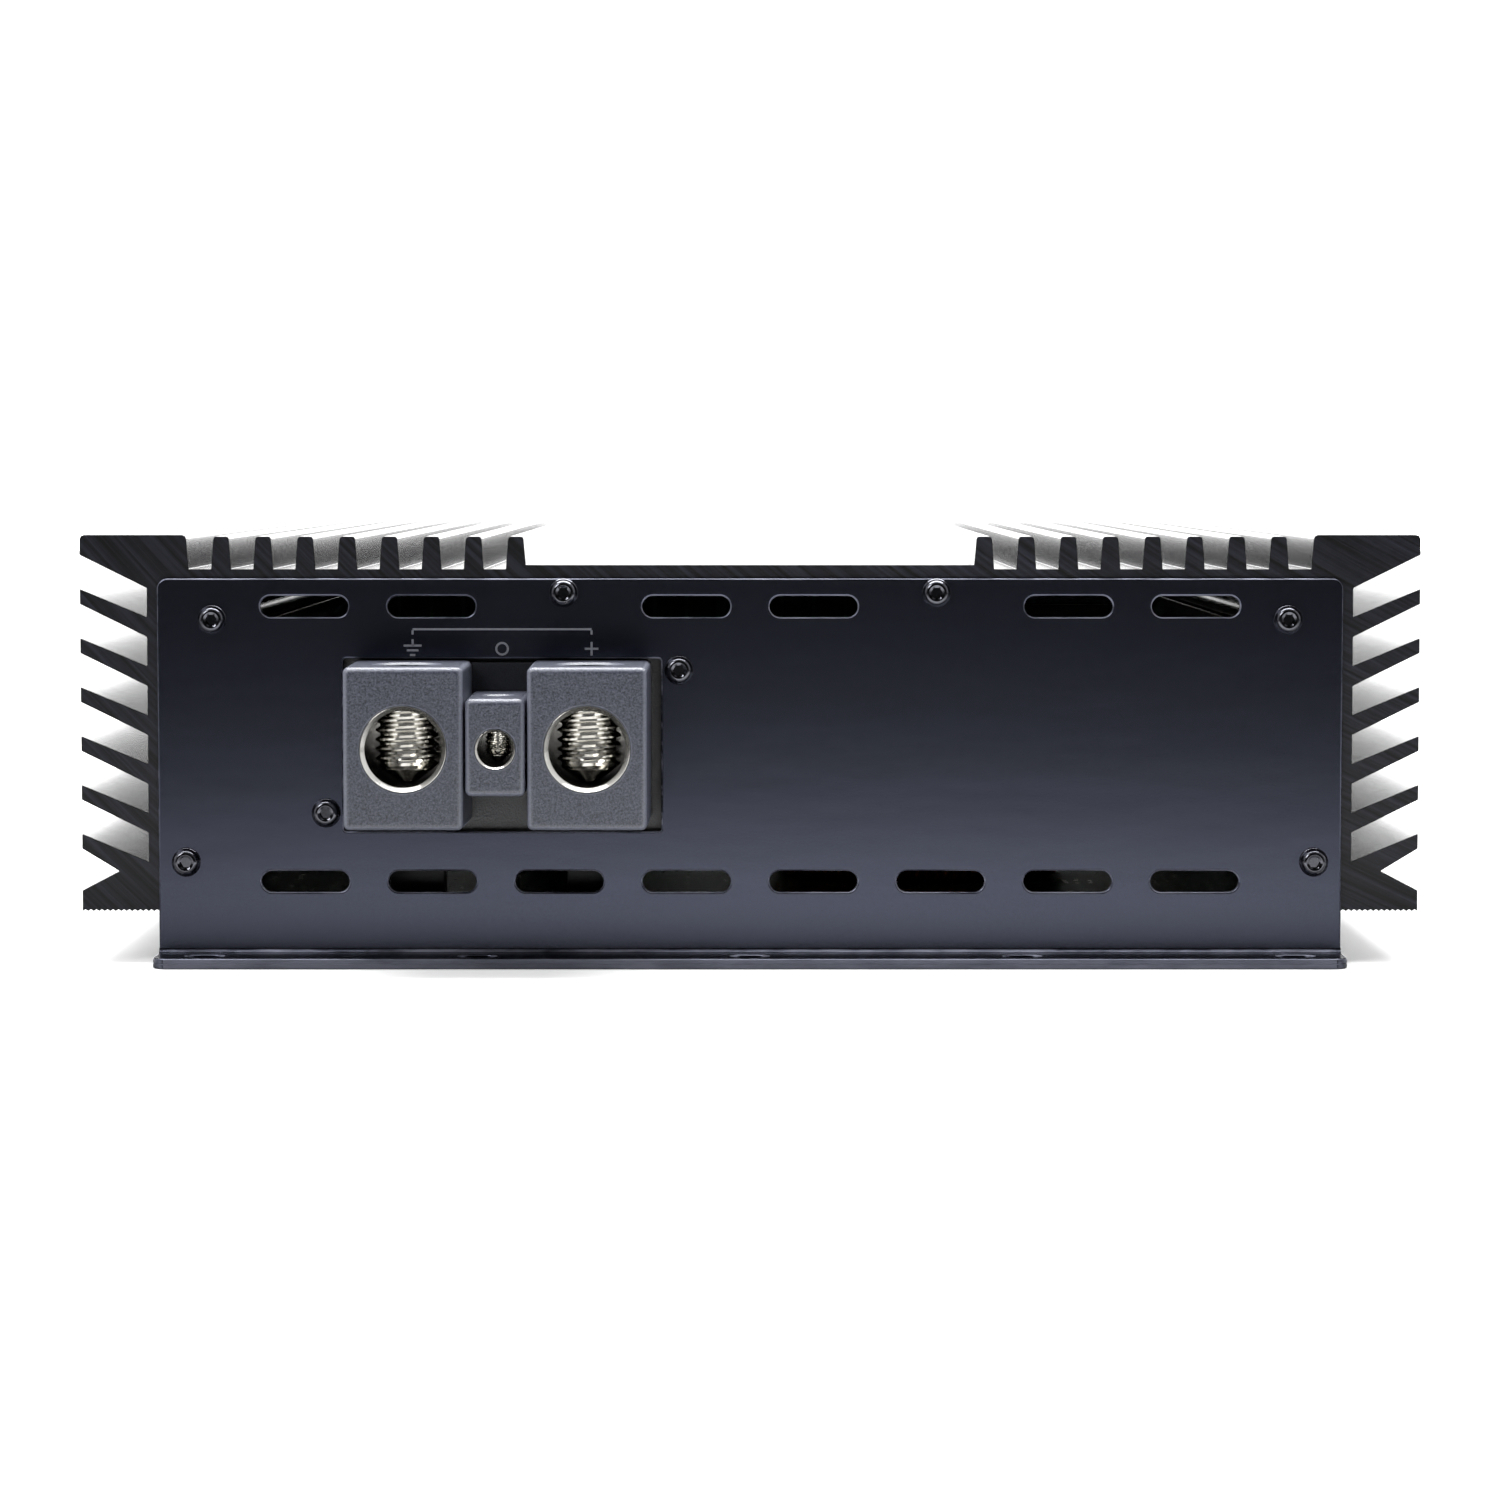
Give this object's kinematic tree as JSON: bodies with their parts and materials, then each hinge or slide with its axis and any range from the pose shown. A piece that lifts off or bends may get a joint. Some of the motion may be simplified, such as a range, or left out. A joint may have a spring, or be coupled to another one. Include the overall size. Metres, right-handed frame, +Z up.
{
  "type": "car amplifier",
  "caption": "Single-channel car amplifier: finned black heat sink, sheet end plates with mounting flanges, moulded screw terminals with clamping set screws.",
  "frame": {"origin": "middle of the underside of the bottom cover", "axes": "+Z up, power terminals face -Y, signal end faces +Y, +X to the right when looking at the power end"},
  "size_m": [0.2548, 0.394, 0.0815],
  "materials": {
    "anodised_aluminium": "black anodised, satin",
    "painted_steel": "blue-black satin powder coat",
    "terminal_moulding": "fine-textured slate grey moulding",
    "nickel_plate": "bright nickel plate",
    "black_screw": "black oxide, slightly glossy",
    "black_plastic": "black moulding",
    "component_black": "moulded electronic package",
    "circuit_board": "green solder mask",
    "copper_winding": "enamelled copper winding",
    "capacitor_sleeve": "shrink sleeve",
    "light_lens": "blue tinted lens"
  },
  "bodies": {
    "chassis": {"heatsink": "anodised_aluminium", "power_end_plate": "painted_steel", "signal_end_plate": "painted_steel", "bottom_cover": "painted_steel", "power_terminal_housing": "terminal_moulding", "speaker_terminal_housing": "terminal_moulding", "gnd_barrel": "nickel_plate", "remote_barrel": "nickel_plate", "positive_barrel": "nickel_plate", "speaker_negative_barrel": "nickel_plate", "speaker_positive_barrel": "nickel_plate", "rca_jack_left": "nickel_plate", "rca_jack_right": "nickel_plate", "rca_jack_housing": "black_plastic", "remote_level_port": "black_plastic", "phase_switch_body": "black_plastic", "status_light": "light_lens", "power_plate_screw_upper_left": "black_screw", "power_plate_screw_upper_right": "black_screw", "power_plate_screw_lower_left": "black_screw", "power_plate_screw_lower_right": "black_screw", "power_plate_screw_middle_left": "black_screw", "power_plate_screw_middle_right": "black_screw", "signal_plate_screw_upper_left": "black_screw", "signal_plate_screw_upper_right": "black_screw", "signal_plate_screw_lower_left": "black_screw", "signal_plate_screw_lower_right": "black_screw", "signal_plate_screw_middle_left": "black_screw", "signal_plate_screw_middle_right": "black_screw", "power_housing_screw_1": "black_screw", "power_housing_screw_2": "black_screw", "cover_screw_1": "black_screw", "cover_screw_2": "black_screw", "cover_screw_3": "black_screw", "cover_screw_4": "black_screw", "main_circuit_board": "circuit_board", "control_board": "circuit_board", "power_transformer": "copper_winding", "output_inductor": "copper_winding", "capacitor_front": "capacitor_sleeve", "capacitor_rear": "capacitor_sleeve", "transistor_left_front": "component_black", "transistor_left_rear": "component_black", "transistor_right_front": "component_black", "transistor_right_rear": "component_black"},
    "gnd_pad": {"gnd_pressure_pad": "nickel_plate"},
    "gnd_screw": {"gnd_set_screw": "nickel_plate"},
    "remote_pad": {"remote_pressure_pad": "nickel_plate"},
    "remote_screw": {"remote_set_screw": "nickel_plate"},
    "positive_pad": {"positive_pressure_pad": "nickel_plate"},
    "positive_screw": {"positive_set_screw": "nickel_plate"},
    "speaker_negative_pad": {"speaker_negative_pressure_pad": "nickel_plate"},
    "speaker_negative_screw": {"speaker_negative_set_screw": "nickel_plate"},
    "speaker_positive_pad": {"speaker_positive_pressure_pad": "nickel_plate"},
    "speaker_positive_screw": {"speaker_positive_set_screw": "nickel_plate"},
    "gain_control": {"gain_knob": "black_plastic"},
    "low_pass_control": {"low_pass_knob": "black_plastic"},
    "subsonic_control": {"subsonic_knob": "black_plastic"},
    "bass_boost_control": {"bass_boost_knob": "black_plastic"},
    "phase_slider": {"phase_switch_slider": "black_plastic"}
  },
  "joints": [
    {"name": "gnd_clamp_lift", "type": "slide", "parent": "chassis", "child": "gnd_pad", "axis": [0, 0, 1], "range_m": [0, 0.0135]},
    {"name": "gnd_screw_turn", "type": "hinge", "parent": "gnd_pad", "child": "gnd_screw", "pos_m": [-0.0641, -0.185, 0.0423], "axis": [0, 0, 1], "range_deg": [0, 2777.15]},
    {"name": "remote_clamp_lift", "type": "slide", "parent": "chassis", "child": "remote_pad", "axis": [0, 0, 1], "range_m": [0, 0.005]},
    {"name": "remote_screw_turn", "type": "hinge", "parent": "remote_pad", "child": "remote_screw", "pos_m": [-0.0471, -0.185, 0.0423], "axis": [0, 0, 1], "range_deg": [0, 2250.01]},
    {"name": "positive_clamp_lift", "type": "slide", "parent": "chassis", "child": "positive_pad", "axis": [0, 0, 1], "range_m": [0, 0.0135]},
    {"name": "positive_screw_turn", "type": "hinge", "parent": "positive_pad", "child": "positive_screw", "pos_m": [-0.0301, -0.185, 0.0423], "axis": [0, 0, 1], "range_deg": [0, 2777.15]},
    {"name": "speaker_negative_clamp_lift", "type": "slide", "parent": "chassis", "child": "speaker_negative_pad", "axis": [0, 0, 1], "range_m": [0, 0.009]},
    {"name": "speaker_negative_screw_turn", "type": "hinge", "parent": "speaker_negative_pad", "child": "speaker_negative_screw", "pos_m": [0.084, 0.185, 0.0423], "axis": [0, 0, 1], "range_deg": [0, 2592.01]},
    {"name": "speaker_positive_clamp_lift", "type": "slide", "parent": "chassis", "child": "speaker_positive_pad", "axis": [0, 0, 1], "range_m": [0, 0.009]},
    {"name": "speaker_positive_screw_turn", "type": "hinge", "parent": "speaker_positive_pad", "child": "speaker_positive_screw", "pos_m": [0.064, 0.185, 0.0423], "axis": [0, 0, 1], "range_deg": [0, 2592.01]},
    {"name": "gain_turn", "type": "hinge", "parent": "chassis", "child": "gain_control", "pos_m": [-0.022, 0.176, 0.042], "axis": [0, -1, 0], "range_deg": [-140, 140]},
    {"name": "low_pass_turn", "type": "hinge", "parent": "chassis", "child": "low_pass_control", "pos_m": [-0.038, 0.176, 0.042], "axis": [0, -1, 0], "range_deg": [-140, 140]},
    {"name": "subsonic_turn", "type": "hinge", "parent": "chassis", "child": "subsonic_control", "pos_m": [-0.054, 0.176, 0.042], "axis": [0, -1, 0], "range_deg": [-140, 140]},
    {"name": "bass_boost_turn", "type": "hinge", "parent": "chassis", "child": "bass_boost_control", "pos_m": [-0.07, 0.176, 0.042], "axis": [0, -1, 0], "range_deg": [-140, 140]},
    {"name": "phase_switch_slide", "type": "slide", "parent": "chassis", "child": "phase_slider", "axis": [-1, 0, 0], "range_m": [0, 0.0036]}
  ],
  "couplings": [
    {"joint": "gnd_screw_turn", "follows": "gnd_clamp_lift", "rad_per_m": 3590.4},
    {"joint": "remote_screw_turn", "follows": "remote_clamp_lift", "rad_per_m": 7854},
    {"joint": "positive_screw_turn", "follows": "positive_clamp_lift", "rad_per_m": 3590.4},
    {"joint": "speaker_negative_screw_turn", "follows": "speaker_negative_clamp_lift", "rad_per_m": 5026.5},
    {"joint": "speaker_positive_screw_turn", "follows": "speaker_positive_clamp_lift", "rad_per_m": 5026.5}
  ]
}
